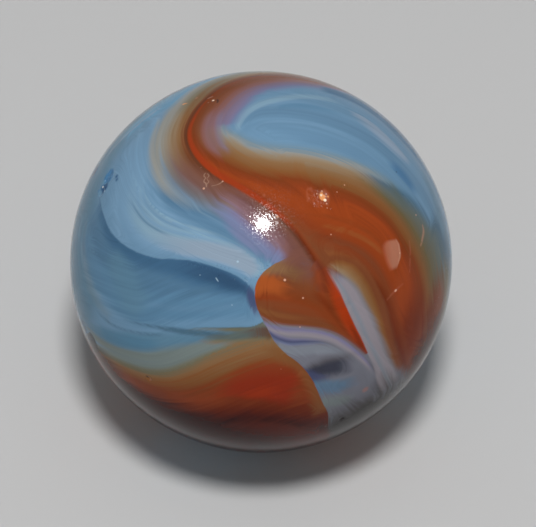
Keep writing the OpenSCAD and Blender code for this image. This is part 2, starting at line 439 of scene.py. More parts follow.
def sweep():
    """The broad brown-red ribbon from the upper bend down the right side and round the back."""
    return [
        ribbon("sweep", [
            (-1.0, "sage"), (-0.88, "stone"), (-0.74, "tan"), (-0.57, "camel"),
            (-0.36, "toffee"), (-0.16, "rust"), (0.0, "brick"), (0.15, "flame"),
            (0.32, "flame"), (0.5, "brick"), (0.75, "brown"), (1.0, "brown")], [
            (195, 112, 1.4, 0.25), (190, 120, 1.5, 0.3), (189, 130, 1.55, 0.35),
            (192, 142, 1.55, 0.45), (199, 152, 1.55, 0.5), (211, 162, 1.65, 0.55),
            (226, 170, 1.64, 0.65), (245, 178, 1.7, 0.95), (270, 184, 1.76, 1.4),
            (300, 188, 1.8, 2.5), (335, 197, 1.9, 3.2), (364, 210, 2.05, 3.1),
            (384, 226, 2.15, 2.9), (398, 247, 2.35, 2.7), (410, 273, 2.9, 2.6),
            (415, 303, 3.4, 2.6), (417, 330, 3.5, 2.6), (415, 352, 3.4, 2.6),
            (408, 376, 3.2, 2.6), (391, 396, 2.9, 2.6, FAR), (366, 408, 2.6, 2.6, FAR),
            (330, 409, 2.5, 2.6, FAR), (290, 400, 2.5, 2.8, FAR), (245, 385, 2.5, 3.0, FAR),
            (195, 370, 2.6, 3.0, FAR), (145, 362, 2.2, 2.6, FAR),
            (110, 356, 1.8, 2.0, FAR), (95, 352, 1.4, 1.2)],
            soft=(0.7, 0.6), ends=(1.0, 1.0), drift=3.4),
        ribbon("sweep_olive", [
            (-1.0, "teal"), (-0.7, "petrol"), (-0.3, "lichen"), (0.1, "olive"),
            (0.6, "bronze"), (1.0, "toffee")], [
            (347, 172, 0.2, 0.15), (367, 183, 0.5, 0.3), (388, 199, 0.9, 0.4),
            (405, 216, 1.4, 0.5), (419, 237, 2.2, 0.6), (429, 260, 2.7, 0.7),
            (434, 285, 2.6, 0.7), (434, 308, 1.6, 0.6)], soft=(0.6, 0.5),
            ends=(2.0, 1.5), opacity=0.9),
        ribbon("rim_olive", [(-1.0, "petrol"), (-0.3, "olive"), (1.0, "bronze")], [
            (440, 255, 0.6, 0.2), (445, 275, 1.1, 0.5), (446, 298, 1.2, 0.7),
            (443, 320, 0.9, 0.6)], soft=(1.0, 0.8), ends=(1.5, 2.0), opacity=0.85),
        ribbon("rim_rust", [(-1.0, "umber"), (0.0, "rust"), (1.0, "mahogany")], [
            (437, 266, 0.1, 0.3), (440, 282, 0.3, 0.9), (441, 298, 0.5, 1.4),
            (439, 315, 0.7, 1.4), (434, 332, 0.8, 1.2), (424, 352, 0.8, 1.1),
            (410, 373, 0.4, 0.9)],
            soft=(0.9, 1.0), ends=(1.6, 2.0), opacity=0.9),
        # Painted shade: near-black red along the right and lower right rim.
        ribbon("sweep_rim_painted_shade", "black_red", [
            (448, 290, 0.1, 0.1), (446, 305, 0.3, 0.5), (439, 328, 0.6, 1.0),
            (427, 350, 0.8, 1.3), (411, 373, 0.8, 1.3), (392, 393, 0.5, 0.8, FAR),
            (370, 402, 0.2, 0.3, FAR)], soft=(2.2, 2.2), opacity=0.85,
            ends=(2.0, 2.5)),
        ribbon("sweep_red", "mahogany", [
            (412, 280, 0.2, 0.3), (415, 305, 0.5, 0.6), (410, 332, 0.8, 0.8),
            (400, 356, 0.8, 0.8), (388, 378, 0.5, 0.5)], soft=(1.2, 1.0),
            ends=(2.0, 1.5), opacity=0.8),
        ribbon("sweep_bright", "flame", [
            (270, 196, 0.1, 0.1), (300, 202, 0.14, 0.14), (335, 207, 0.16, 0.16),
            (365, 216, 0.16, 0.16), (388, 231, 0.16, 0.16), (402, 252, 0.12, 0.12)],
            soft=(0.3, 0.25), opacity=0.8),
        ribbon("sweep_light", "ochre", [
            (318, 224, 0.05, 0.05), (345, 231, 0.08, 0.08), (370, 243, 0.08, 0.08),
            (385, 256, 0.05, 0.05)], soft=(0.2, 0.2), opacity=0.5),
        ribbon("sweep_dark", "umber", [
            (305, 234, 0.06, 0.06), (335, 240, 0.1, 0.1), (360, 252, 0.12, 0.1),
            (376, 268, 0.12, 0.12), (386, 290, 0.12, 0.12), (392, 318, 0.1, 0.1)],
            soft=(0.3, 0.3), opacity=0.35, ends=(1.0, 2.0)),
        ribbon("sweep_shadow", [(-1.0, "rust"), (0.0, "mahogany"), (1.0, "umber")], [
            (362, 266, 0.05, 0.05), (375, 280, 0.15, 0.15), (385, 298, 0.3, 0.2),
            (392, 318, 0.35, 0.25), (398, 340, 0.35, 0.25), (404, 360, 0.3, 0.25),
            (409, 376, 0.2, 0.2)], soft=(0.45, 0.3), ends=(1.2, 1.5), opacity=0.7),
        ribbon("sweep_rust", "rust", [
            (300, 214, 0.03, 0.03), (330, 217, 0.06, 0.06), (358, 226, 0.08, 0.08),
            (378, 240, 0.08, 0.08), (392, 262, 0.06, 0.06), (400, 290, 0.03, 0.03)],
            soft=(0.2, 0.2), ends=(1.0, 1.5), opacity=0.6),
        ribbon("sweep_toffee", "ochre", [
            (322, 252, 0.05, 0.05), (345, 256, 0.08, 0.08), (362, 268, 0.08, 0.08),
            (374, 286, 0.06, 0.06), (382, 306, 0.04, 0.04)], soft=(0.2, 0.2),
            opacity=0.5, ends=(1.0, 1.5)),
    ]


def eye():
    """The blue field inside the upper bend, with its pale crescent."""
    return [
        ribbon("eye", [
            (-1.0, "ground"), (-0.5, "ground"), (-0.2, "slate"), (0.15, "slate"),
            (0.5, "ground"), (1.0, "slate")], [
            (236, 134, 0.3, 0.2), (243, 122, 0.6, 0.4), (257, 114, 0.9, 0.8),
            (277, 112, 1.1, 1.1), (300, 114, 1.2, 1.3), (335, 123, 1.3, 1.3),
            (370, 140, 1.3, 1.3), (398, 164, 1.3, 1.1), (420, 190, 1.2, 0.9),
            (438, 228, 1.2, 0.5)],
            soft=(0.5, 0.8), ends=(0.6, 1.0), drift=1.8),
        ribbon("crescent", "pale", [
            (237, 136, 0.05, 0.05), (239, 123, 0.12, 0.12), (247, 112, 0.18, 0.16),
            (261, 104, 0.2, 0.18), (280, 99, 0.2, 0.16), (302, 97, 0.2, 0.15),
            (324, 99, 0.18, 0.12), (346, 105, 0.1, 0.08)], soft=(0.3, 0.2),
            ends=(0.6, 1.2), opacity=0.8),
        ribbon("eye_dark", "lake", [
            (272, 110, 0.05, 0.1), (284, 106, 0.1, 0.15), (302, 105, 0.1, 0.2),
            (325, 109, 0.1, 0.15), (348, 118, 0.05, 0.1)], soft=(0.15, 0.4),
            ends=(0.6, 2.0), opacity=0.8),
        ribbon("eye_line", "sky", [
            (250, 128, 0.04, 0.04), (270, 122, 0.08, 0.08), (300, 122, 0.1, 0.1),
            (335, 131, 0.1, 0.1), (365, 147, 0.05, 0.05)], soft=(0.2, 0.3),
            ends=(1.0, 1.5), opacity=0.5),
        ribbon("eye_floor", "slate", [
            (290, 140, 0.1, 0.15), (320, 143, 0.2, 0.2), (350, 152, 0.25, 0.25),
            (376, 166, 0.2, 0.2)], soft=(0.5, 0.4), ends=(1.0, 1.0), opacity=0.7),
        ribbon("patch_ocean", "ocean", [
            (386, 160, 0.1, 0.1), (398, 170, 0.25, 0.25), (409, 183, 0.25, 0.25),
            (418, 198, 0.1, 0.1)], soft=(0.5, 0.4), ends=(0.8, 0.8), opacity=0.9),
        ribbon("patch_lichen", "lichen", [
            (385, 178, 0.05, 0.1), (393, 188, 0.15, 0.2), (401, 200, 0.15, 0.2),
            (411, 214, 0.05, 0.1)], soft=(0.3, 0.4), ends=(0.8, 0.8), opacity=0.8),
        ribbon("rim_slate", "teal", [
            (416, 164, 0.3, 0.1), (430, 190, 0.5, 0.2), (439, 215, 0.6, 0.25),
            (446, 245, 0.6, 0.2)], soft=(0.6, 0.4), ends=(1.0, 1.0), opacity=0.8),
    ]


def thread():
    """The bright red thread from the upper rim to the tongue, with its borders."""
    return [
        ribbon("thread_inner", [
            (-1.0, "periwinkle"), (-0.86, "lilac"), (-0.6, "mauve"), (-0.4, "rosewood"),
            (-0.2, "brown"), (0.0, "rust"), (1.0, "rust")], [
            (100, 345, 0.3, 0.1, FAR), (140, 322, 0.6, 0.1, FAR), (190, 298, 0.8, 0.1, FAR),
            (250, 275, 0.9, 0.1, FAR), (310, 250, 1.0, 0.1, FAR), (362, 215, 1.0, 0.1, FAR),
            (390, 170, 1.0, 0.1, FAR), (380, 125, 1.0, 0.1, FAR), (350, 96, 1.2, 0.1, FAR),
            (310, 78.5, 1.5, 0.1), (280, 75, 1.65, 0.1), (260, 76, 1.75, 0.1),
            (240, 80, 1.8, 0.1), (220, 89, 1.9, 0.1), (205, 102, 1.95, 0.1),
            (195, 116, 1.95, 0.1), (190, 130, 1.85, 0.1), (191, 144, 1.7, 0.1)],
            soft=(0.5, 0.14), ends=(1.5, 1.1)),
        ribbon("thread_mauve", [(-1.0, "periwinkle"), (-0.3, "mauve"), (0.4, "mauve"),
                                (1.0, "rosewood")], [
            (219, 106, 0.3, 0.2), (212, 118, 0.4, 0.4), (210, 131, 0.45, 0.45),
            (213, 143, 0.45, 0.4), (221, 152, 0.3, 0.25), (232, 159, 0.15, 0.1)],
            soft=(0.45, 0.5), ends=(1.0, 1.0), opacity=0.7),
        ribbon("thread_outer", [
            (-1.0, "rust"), (0.0, "rust"), (0.05, "umber"), (0.14, "brown"),
            (0.28, "camel"), (0.5, "tan"), (0.75, "stone"), (1.0, "stone")], [
            (100, 345, 0.1, 0.6, FAR), (140, 322, 0.1, 1.2, FAR), (190, 298, 0.1, 1.8, FAR),
            (250, 275, 0.1, 2.0, FAR), (310, 250, 0.1, 2.0, FAR), (362, 215, 0.1, 2.0, FAR),
            (390, 170, 0.1, 2.0, FAR), (380, 125, 0.1, 1.8, FAR), (350, 96, 0.1, 1.6, FAR),
            (310, 78.5, 0.1, 1.4), (280, 75, 0.1, 1.4), (260, 76, 0.1, 1.4),
            (240, 80, 0.1, 1.4), (220, 89, 0.1, 1.45), (205, 102, 0.1, 1.5),
            (195, 116, 0.1, 1.65), (190, 130, 0.1, 1.8), (191, 142, 0.1, 1.9),
            (196, 153, 0.05, 1.95), (204, 163, 0.05, 1.8), (214, 172, 0.05, 1.6),
            (228, 181, 0.05, 1.4), (245, 191, 0.05, 1.3), (262, 201, 0.05, 1.1),
            (279, 213, 0.05, 0.9), (294, 230, 0.05, 0.8), (306, 248, 0.05, 0.6)],
            soft=(0.14, 0.7), ends=(1.5, 1.2), drift=2.0),
        ribbon("thread_moss", "moss", [
            (262, 71, 0.2, 0.2), (240, 74, 0.3, 0.3), (220, 81, 0.4, 0.4),
            (202, 92, 0.4, 0.4), (188, 106, 0.3, 0.3), (178, 120, 0.2, 0.2)],
            soft=(0.5, 0.5), ends=(1.0, 1.5), opacity=0.7),
        ribbon("thread_toffee", "toffee", [
            (236, 76.5, 0.05, 0.05), (216, 84, 0.12, 0.12), (198, 98, 0.14, 0.14),
            (187, 113, 0.12, 0.12), (182, 130, 0.05, 0.08)], soft=(0.25, 0.3),
            ends=(1.0, 1.0), opacity=0.6),
        ribbon("thread_plum", [
            (-1.0, "umber"), (-0.6, "cocoa"), (0.0, "plum"), (0.5, "ash"),
            (1.0, "slate")], [
            (168, 140, 0.3, 0.3), (171, 154, 0.5, 0.5), (178, 168, 0.65, 0.65),
            (190, 180, 0.75, 0.75), (206, 190, 0.75, 0.8), (222, 198, 0.7, 0.85),
            (238, 206, 0.65, 0.9), (252, 214, 0.55, 0.9)], soft=(0.4, 0.4),
            ends=(2.5, 1.5), opacity=0.85),
        ribbon("thread_lilac", [
            (-1.0, "umber"), (-0.55, "cocoa"), (-0.1, "plum"), (0.25, "mauve"),
            (0.5, "lilac"), (0.72, "periwinkle"), (1.0, "periwinkle")], [
            (214, 186, 0.4, 0.7), (230, 194, 0.55, 0.95), (246, 204, 0.6, 1.2),
            (261, 216, 0.6, 1.35), (276, 230, 0.55, 1.25), (290, 246, 0.55, 1.0),
            (302, 262, 0.5, 0.7), (313, 279, 0.4, 0.5)], soft=(0.25, 0.4),
            ends=(1.5, 1.0), drift=1.2),
        ribbon("thread_cocoa", "cocoa", [
            (282, 236, 0.15, 0.15), (292, 250, 0.25, 0.3), (302, 264, 0.3, 0.3),
            (311, 277, 0.2, 0.2)], soft=(0.3, 0.4), ends=(0.8, 0.8), opacity=0.7),
        ribbon("thread_line", "thread", [
            (214, 94, 0.01, 0.01), (203, 104, 0.03, 0.03), (194, 118, 0.05, 0.05),
            (189.5, 130, 0.06, 0.07), (190.5, 141, 0.08, 0.1), (195.5, 152, 0.11, 0.12),
            (204.5, 163.5, 0.13, 0.12), (218.5, 174.5, 0.15, 0.12), (236, 184.5, 0.14, 0.12),
            (254, 195, 0.13, 0.14), (270, 206, 0.1, 0.14), (284, 218, 0.07, 0.12),
            (298, 234, 0.03, 0.08), (308, 247, 0.01, 0.02)],
            soft=(0.18, 0.12), ends=(3.5, 2.4)),
        ribbon("thread_tail", [(-1.0, "brick"), (0.0, "mahogany"), (1.0, "umber")], [
            (282, 217, 0.05, 0.05), (294, 229, 0.1, 0.12), (304, 243, 0.12, 0.16),
            (314, 258, 0.14, 0.2), (322, 272, 0.15, 0.22), (329, 287, 0.1, 0.2),
            (335, 302, 0.05, 0.1)],
            soft=(0.25, 0.2), ends=(1.6, 1.2), opacity=0.8),
    ]


def upper_rim():
    """Deep blue, brown and milk along the rim at the upper right."""
    return [
        ribbon("rim_deep", "deep", [
            (316, 88, 0.4, 0.2), (340, 95, 0.6, 0.25), (360, 104, 0.8, 0.3),
            (380, 118, 1.0, 0.3), (398, 135, 0.9, 0.25), (413, 153, 0.7, 0.1),
            (430, 180, 0.3, 0.05), (442, 208, 0.05, 0.02)],
            soft=(0.4, 0.3), ends=(0.6, 3.0)),
        ribbon("rim_shade", "umber", [
            (308, 78, 0.1, 0.3), (322, 82, 0.1, 0.3), (338, 88, 0.1, 0.3),
            (352, 95, 0.1, 0.2)], soft=(0.3, 0.4), opacity=0.8),
        ribbon("milk_shade", "steel", [
            (340, 105, 0.02, 0.02), (352, 110.5, 0.05, 0.05), (366, 118, 0.05, 0.05),
            (378, 127, 0.02, 0.02)], soft=(0.14, 0.14), opacity=0.5),
        ribbon("milk_streak", "milk", [
            (346, 110, 0.08, 0.1), (360, 117, 0.18, 0.28), (374, 127, 0.24, 0.42),
            (388, 140, 0.26, 0.45), (400, 152, 0.2, 0.36), (412, 165, 0.08, 0.1)],
            soft=(0.2, 0.6), ends=(0.6, 0.6), opacity=0.85),
    ]


def tongue():
    """The brown tongue that ends at the seam, and the grey glass below it."""
    return [
        ribbon("under_base", [(-1.0, "ash"), (-0.4, "dove"), (0.5, "dove"), (1.0, "fog")], [
            (255, 312, 0.4, 0.6), (275, 332, 0.8, 1.2), (300, 348, 1.2, 2.0),
            (330, 364, 1.4, 2.4), (358, 382, 1.5, 2.6), (376, 398, 1.6, 2.0),
            (386, 412, 1.4, 1.5)],
            soft=(0.5, 1.0), ends=(0.1, 1.0), seam="tongue", drift=2.5),
        ribbon("tongue", [
            (-1.0, "cocoa"), (-0.7, "cocoa"), (-0.35, "brown"), (0.0, "rust"),
            (0.25, "brick"), (0.5, "brown"), (0.8, "brown"), (1.0, "rosewood")], [
            (248, 288, 1.0, 1.1), (268, 291, 1.3, 1.3), (290, 297, 1.6, 1.35),
            (312, 304, 1.5, 1.15), (332, 314, 1.2, 0.9), (348, 328, 0.8, 0.65),
            (361, 343, 0.4, 0.4), (368, 354, 0.1, 0.1)], soft=(0.5, 0.25),
            ends=(0.1, 0.2), seam="tongue", drift=1.6),
        ribbon("tongue_rust", [
            (-1.0, "brown"), (-0.2, "mahogany"), (0.4, "brick"), (1.0, "rust")], [
            (312, 256, 0.2, 0.15), (319, 268, 0.35, 0.3), (325, 284, 0.4, 0.45),
            (331, 302, 0.35, 0.5), (341, 321, 0.3, 0.4), (353, 338, 0.2, 0.3),
            (362, 349, 0.05, 0.1)],
            soft=(0.35, 0.4), ends=(0.8, 0.5), opacity=0.85),
        ribbon("tongue_bronze", "bronze", [
            (274, 273, 0.05, 0.1), (286, 270, 0.15, 0.2), (298, 273, 0.2, 0.3),
            (308, 281, 0.1, 0.15)], soft=(0.35, 0.45), ends=(0.8, 0.8), opacity=0.6),
        ribbon("tongue_dark", "mahogany", [
            (308, 292, 0.05, 0.05), (322, 300, 0.1, 0.1), (334, 312, 0.14, 0.14),
            (346, 327, 0.16, 0.14), (357, 341, 0.12, 0.1), (365, 352, 0.05, 0.05)],
            soft=(0.3, 0.25), ends=(1.2, 0.2), opacity=0.75),
        ribbon("tongue_cap", "camel", [
            (254, 282, 0.15, 0.15), (262, 274, 0.2, 0.2), (274, 267, 0.25, 0.25),
            (288, 264, 0.2, 0.3), (300, 266, 0.1, 0.15)],
            soft=(0.3, 0.4), ends=(0.1, 1.2), seam="tongue", opacity=0.85),
        ribbon("tongue_blush", "cocoa", [
            (280, 264, 0.1, 0.15), (290, 259, 0.2, 0.25), (300, 256, 0.3, 0.3),
            (310, 256, 0.3, 0.3)], soft=(0.3, 0.35), ends=(0.5, 0.8), opacity=0.7),
        ribbon("tongue_orange", "orange", [
            (250, 292, 0.25, 0.3), (259, 284, 0.3, 0.35), (270, 283, 0.3, 0.35),
            (281, 287, 0.2, 0.25), (293, 294, 0.08, 0.12)],
            soft=(0.4, 0.45), seam="tongue", ends=(0.1, 1.0)),
        ribbon("tongue_shade", "brown", [
            (254, 302, 0.08, 0.08), (268, 303, 0.1, 0.1), (288, 305, 0.12, 0.12),
            (310, 311, 0.1, 0.1), (330, 322, 0.06, 0.06)], soft=(0.2, 0.2),
            seam="tongue", opacity=0.6, ends=(0.4, 1.0)),
        ribbon("tongue_ochre", "toffee", [
            (256, 308, 0.08, 0.08), (268, 313, 0.1, 0.08), (288, 317, 0.08, 0.06),
            (310, 320, 0.05, 0.05)], soft=(0.2, 0.2),
            seam="tongue", opacity=0.5, ends=(0.3, 1.2)),
    ]


def pearl_ribbons():
    """The pearl ribbon with its red wedge, and the lilac lip under the tongue."""
    return [
        ribbon("pearl_bed", [
            (-1.0, "brown"), (-0.6, "brown"), (-0.25, "toffee"), (0.2, "camel"),
            (0.75, "tan"), (1.0, "camel")], [
            (327, 262, 0.15, 0.0), (337, 264, 0.35, 0.25), (351, 270, 0.45, 0.5),
            (363, 284, 0.5, 0.55), (372, 303, 0.5, 0.6), (379, 325, 0.45, 0.6),
            (385, 345, 0.4, 0.6), (391, 362, 0.4, 0.6), (396, 376, 0.35, 0.5)],
            soft=(0.35, 0.3), ends=(0.6, 0.8), drift=1.0),
        ribbon("pearl", [(-1.0, "dove"), (-0.75, "pearl"), (-0.5, "pearl"),
                         (-0.3, "mist"), (-0.12, "pearl"), (1.0, "pearl")], [
            (327, 269, 0.05, 0), (332, 279, 0.4, 0), (340.5, 295, 0.78, 0),
            (348, 312, 0.9, 0), (356.5, 330, 0.9, 0), (365.5, 349, 0.85, 0),
            (374, 366, 0.8, 0.05), (381, 380, 0.8, 0.2), (388, 394, 0.8, 0.3)],
            soft=(0.35, 0.1), ends=(0.9, 1.2), seam="tongue", drift=0.9),
        ribbon("wedge", [(0.0, "scarlet"), (0.5, "scarlet"), (1.0, "rust")], [
            (322.5, 263, 0, 0.12), (332, 278, 0, 0.38), (338.8, 290, 0, 0.55),
            (346.8, 308, 0, 0.58), (355.2, 326, 0, 0.5), (362.6, 341, 0, 0.32),
            (367.5, 353.5, 0, 0.05)], soft=(0.08, 0.45), ends=(2.2, 0.05)),
        ribbon("wedge_shade", "mahogany", [
            (345, 312, 0, 0.1), (354, 328, 0, 0.14), (362, 342, 0, 0.2),
            (367.5, 353.5, 0, 0.08)], soft=(0.1, 0.2), ends=(1.4, 0.05), opacity=0.7),
        ribbon("under_lip", [
            (0.0, "dove"), (0.3, "lilac"), (0.6, "pearl"), (1.0, "dove")], [
            (255, 313, 0, 0.35), (264, 319.5, 0, 0.45), (274, 323.5, 0, 0.5),
            (288, 326, 0, 0.55), (304, 327, 0, 0.55), (320, 329, 0, 0.55),
            (335, 333.5, 0, 0.5), (347, 340, 0, 0.5), (358, 348.5, 0, 0.45),
            (368, 358, 0, 0.4), (378, 371, 0, 0.4)],
            soft=(0.25, 0.35), ends=(0.1, 1.2), seam="tongue", drift=1.0),
        ribbon("lip_line", "pearl", [
            (284, 331, 0.02, 0.02), (300, 333, 0.06, 0.08), (318, 336, 0.08, 0.08),
            (334, 341, 0.06, 0.06), (347, 348, 0.02, 0.02)], soft=(0.15, 0.2),
            ends=(0.8, 1.0), seam="tongue", opacity=0.7),
        ribbon("under_indigo", [(-1.0, "lilac"), (0.0, "indigo"), (1.0, "periwinkle")], [
            (266, 329, 0.05, 0.08), (275, 337, 0.14, 0.16), (288, 341.5, 0.16, 0.16),
            (306, 341.5, 0.12, 0.14), (322, 342, 0.08, 0.08), (338, 346, 0.04, 0.05)],
            soft=(0.18, 0.18), ends=(0.2, 1.5), seam="tongue", opacity=0.9),
        ribbon("under_milk", "mist", [
            (276, 344, 0.1, 0.1), (290, 350, 0.16, 0.2), (306, 350, 0.2, 0.25),
            (322, 349, 0.18, 0.2), (340, 352, 0.1, 0.15), (352, 357, 0.05, 0.05)],
            soft=(0.18, 0.3), ends=(0.2, 1.2), seam="tongue", opacity=0.85),
    ]


def lower_right():
    """Smoke, blue and sage below the tongue, and painted shade on the rim there."""
    return [
        ribbon("smoke", [(-1.0, "dusk"), (-0.3, "smoke"), (1.0, "smoke")], [
            (298, 376, 0.1, 0.2), (311, 373, 0.4, 0.35), (326, 369, 0.5, 0.4),
            (341, 365, 0.45, 0.42), (352, 363, 0.35, 0.35), (361, 360, 0.2, 0.2)],
            soft=(0.55, 0.6), ends=(0.4, 1.2), seam="tongue", opacity=0.95),
        ribbon("patch_indigo", "indigo", [
            (298, 368, 0.1, 0.15), (306, 374, 0.25, 0.25), (318, 378, 0.2, 0.22),
            (334, 377, 0.08, 0.1)], soft=(0.25, 0.25), ends=(0.1, 0.8), seam="tongue",
            opacity=0.85),
        ribbon("patch_blue", "steel", [
            (310, 384, 0.2, 0.25), (324, 387, 0.35, 0.35), (340, 386, 0.35, 0.35),
            (354, 381, 0.25, 0.25), (364, 376, 0.1, 0.1)], soft=(0.35, 0.5),
            ends=(0.3, 1.0), seam="tongue", opacity=0.7),
        ribbon("patch_sage", "sage", [
            (320, 400, 0.2, 0.2), (334, 402, 0.35, 0.3), (348, 400, 0.3, 0.25),
            (360, 395, 0.1, 0.1)], soft=(0.4, 0.4), ends=(0.2, 0.8), seam="tongue",
            opacity=0.7),
        # Painted shade: charcoal, greying at its edge, along the lower right rim.
        ribbon("lower_right_rim_painted_shade", [(-1.0, "dusk"), (-0.6, "charcoal"), (1.0, "charcoal")], [
            (305, 449, 2.6, 1.0), (330, 441, 3.0, 1.0), (350, 430, 3.2, 1.2),
            (368, 419, 3.3, 1.4), (390, 401, 3.2, 1.5), (404, 384, 2.8, 1.5),
            (416, 366, 1.8, 1.5)],
            soft=(2.0, 1.5), seam="tongue", ends=(0.3, 1.6)),
    ]


def far_side():
    """The nested blue swirl on the far side, and the end of the pearl ribbon."""
    return [
        ribbon("far_pale", [
            (-1.0, "ground"), (-0.7, "sky"), (-0.5, "slate"), (-0.25, "pale"),
            (0.0, "haze"), (0.15, "sky"), (0.4, "slate"), (0.7, "pale"), (1.0, "ground")], [
            (160, 101, 0.3, 0.3, FAR), (205, 103, 0.7, 0.7, FAR),
            (255, 116, 1.0, 1.0, FAR), (298, 142, 1.1, 1.1, FAR),
            (315, 172, 1.1, 1.1, FAR), (300, 202, 1.1, 1.1, FAR),
            (258, 226, 1.1, 1.1, FAR), (205, 246, 1.0, 1.0, FAR),
            (155, 266, 0.8, 0.8, FAR), (115, 288, 0.4, 0.4, FAR)],
            soft=(0.6, 0.6), ends=(2.5, 2.5), drift=2.5),
        ribbon("far_deep", "teal", [
            (118, 142, 0.3, 0.2, FAR), (150, 140, 0.5, 0.5, FAR),
            (190, 144, 0.6, 0.7, FAR), (228, 156, 0.6, 0.8, FAR),
            (250, 176, 0.6, 0.8, FAR), (238, 196, 0.6, 0.8, FAR),
            (198, 212, 0.6, 0.8, FAR), (150, 228, 0.5, 0.6, FAR),
            (110, 244, 0.2, 0.2, FAR)],
            soft=(0.9, 0.5), ends=(2.5, 2.5), opacity=0.85, drift=1.6),
        ribbon("far_line", "haze", [
            (140, 170, 0.05, 0.05, FAR), (170, 168, 0.15, 0.15, FAR),
            (200, 172, 0.2, 0.2, FAR), (214, 182, 0.2, 0.2, FAR),
            (196, 190, 0.15, 0.15, FAR), (160, 198, 0.05, 0.05, FAR)],
            soft=(0.25, 0.25), ends=(1.5, 1.5), opacity=0.5),
        ribbon("far_pearl", [
            (-1.0, "dove"), (-0.5, "pearl"), (0.0, "mist"), (0.5, "pearl"), (1.0, "tan")], [
            (392, 384, 0.5, 0.4), (384, 386, 0.7, 0.6, FAR), (345, 374, 0.8, 0.7, FAR),
            (295, 366, 0.8, 0.7, FAR), (245, 358, 0.7, 0.6, FAR),
            (200, 348, 0.3, 0.3, FAR)], soft=(0.25, 0.4), ends=(0.8, 1.5), drift=1.0),
    ]


def all_ribbons():
    """Every ribbon, in the order in which they lie on each other."""
    return (blue_half() + flame() + sweep() + far_side() + eye() + thread() + upper_rim()
            + tongue() + pearl_ribbons() + lower_right())


# --- Laying the ribbons on the ball --------------------------------------------------

# Step between the samples of a course, the least reach that a place across is measured by,
# how softly a ribbon ends at the seam and how far the blue side laps over it, and how softly
# a ribbon lets go of the streaks, all in mm
SAMPLE_MM = 0.1
THIN_MM = 0.01
SEAM_BLUR = 0.05
SEAM_LAP = 0.1
DRIFT_BLUR = 1.0

# Bounds of what is stored: cover in blurs inside the edge, and place in reaches
COVER_BOUND = 30.0
PLACE_BOUND = 2


def smooth_through(knots, values, places):
    """The values at the places, on a smooth curve through the values at the knots."""
    slopes = np.gradient(values, knots, axis=0)
    i = np.clip(np.searchsorted(knots, places, side="right") - 1, 0, len(knots) - 2)
    span = (knots[i + 1] - knots[i])[:, None]
    t = (places - knots[i])[:, None] / span
    return ((1 + 2 * t) * (1 - t) ** 2 * values[i] + t * (1 - t) ** 2 * span * slopes[i]
            + t * t * (3 - 2 * t) * values[i + 1] + t * t * (t - 1) * span * slopes[i + 1])


class Course:
    """A smooth path over the ball, and how far the ball's skin lies from it."""

    def __init__(self, path):
        missing = (0, 0, False)
        rows = [tuple(row) + missing[len(row) - 2:] for row in path]
        points = np.array([on_ball(x, y, far) for x, y, _, _, far in rows])
        reach = np.array([(left, right) for _, _, left, right, _ in rows], float)
        steps = np.linalg.norm(np.diff(points, axis=0), axis=1) * SKIN_MM
        knots = np.concatenate([[0], np.cumsum(steps)])
        count = int(knots[-1] / SAMPLE_MM) + 2
        along = np.linspace(0, knots[-1], count)
        line = smooth_through(knots, points, along)
        self.line = line / np.linalg.norm(line, axis=1)[:, None]
        ahead = np.gradient(self.line, axis=0)
        ahead -= self.line * (ahead * self.line).sum(1)[:, None]
        self.ahead = ahead / np.linalg.norm(ahead, axis=1)[:, None]
        self.rightward = np.cross(self.ahead, self.line)
        self.reach = np.maximum(smooth_through(knots, reach, along), 0)
        self.along = along

    def measure(self, skin):
        """For each direction in skin: mm along the course, mm to its right, and reaches."""
        near = np.argmax(skin @ self.line.T, axis=1)
        line, ahead = self.line[near], self.ahead[near]
        forward = np.arctan2((skin * ahead).sum(1), (skin * line).sum(1)) * SKIN_MM
        sideways = (skin * self.rightward[near]).sum(1)
        across = np.arcsin(np.clip(sideways, -1, 1)) * SKIN_MM
        place = near + forward / (self.along[1] - self.along[0])
        steps = np.arange(len(self.along))
        left = np.interp(place, steps, self.reach[:, 0])
        right = np.interp(place, steps, self.reach[:, 1])
        return self.along[near] + forward, across, left, right


def lay(band, skin, seam_side):
    """Each direction's cover by the ribbon, place and mm across it, and pull on the streaks."""
    course = Course(band.path)
    along, across, left, right = course.measure(skin)
    length = course.along[-1]
    cover = np.minimum.reduce([
        (across + left) / band.soft[0], (right - across) / band.soft[1],
        along / band.ends[0] - 0.5, (length - along) / band.ends[1] - 0.5])
    if band.seam:
        side = seam_side + SEAM_LAP if band.seam == "blue" else -seam_side
        cover = np.minimum(cover, side / SEAM_BLUR)
    place = np.where(across < 0, across / np.maximum(left, THIN_MM),
                     across / np.maximum(right, THIN_MM))
    within = np.minimum.reduce([band.drift - abs(across), along, length - along])
    if band.seam:
        within = np.minimum(within, side)
    pull = np.clip(within / DRIFT_BLUR + 0.5, 0, 1) * (band.drift > 0)
    cover = np.clip(cover, -COVER_BOUND, COVER_BOUND)
    return cover, np.clip(place, -PLACE_BOUND, PLACE_BOUND), across, pull


# --- Flaws in the skin ---------------------------------------------------------------

# Marks of one glass: lines with rows of image x and y and half their width, and spots with
# their image x and y and width. Widths and the blur of the edges are in millimetres.
Marks = namedtuple("Marks", "name colour opacity soft lines spots")


def moon():
    """The bruise like a half moon, crisp where the glass lifted."""
    return ribbon("moon", [(-1.0, "glint"), (-0.75, "veil"), (0.1, "veil"), (1.0, "bruise")], [
        (391.5, 238.5, 0.2, 0.24), (392.2, 243, 0.36, 0.44), (392.5, 249, 0.43, 0.48),
        (392.8, 255, 0.45, 0.42), (393.2, 261, 0.38, 0.34), (394, 266, 0.25, 0.26),
        (395, 270.5, 0.1, 0.16)], soft=(0.1, 0.3), ends=(0.15, 0.2), opacity=0.55)


